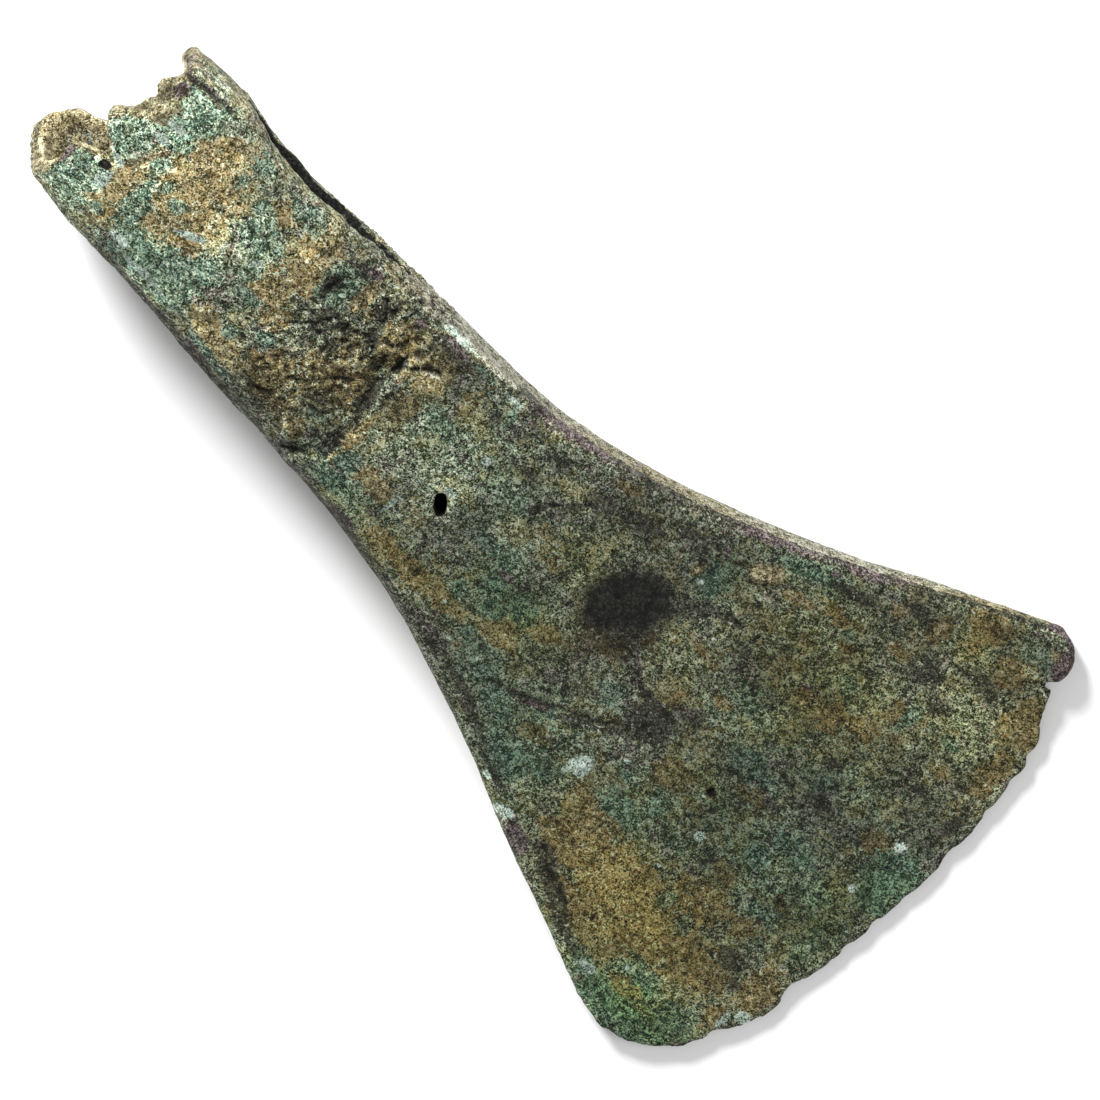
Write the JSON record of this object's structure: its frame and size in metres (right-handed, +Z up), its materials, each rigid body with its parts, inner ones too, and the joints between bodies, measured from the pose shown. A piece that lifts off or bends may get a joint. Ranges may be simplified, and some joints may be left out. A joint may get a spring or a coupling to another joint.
{
  "type": "socketed bronze axe head",
  "caption": "Ancient cast bronze axe head, corroded: hollow haft socket broken at its mouth, and a solid wedge of a blade that flares to a wide, nibbled cutting edge.",
  "frame": {"origin": "On the plane that the head lies on, under the middle of its bounding box", "axes": "+X from the socket's mouth to the cutting edge, +Y across the blade towards the hooked corner, +Z up out of the front face as the head lies on its back"},
  "size_m": [0.1496, 0.0792, 0.0205],
  "materials": {
    "bronze_patina": "corroded bronze: matt, granular olive-green and brown patina with ochre earth and malachite patches"
  },
  "bodies": {
    "root": {"axe_head": "bronze_patina"}
  },
  "joints": []
}
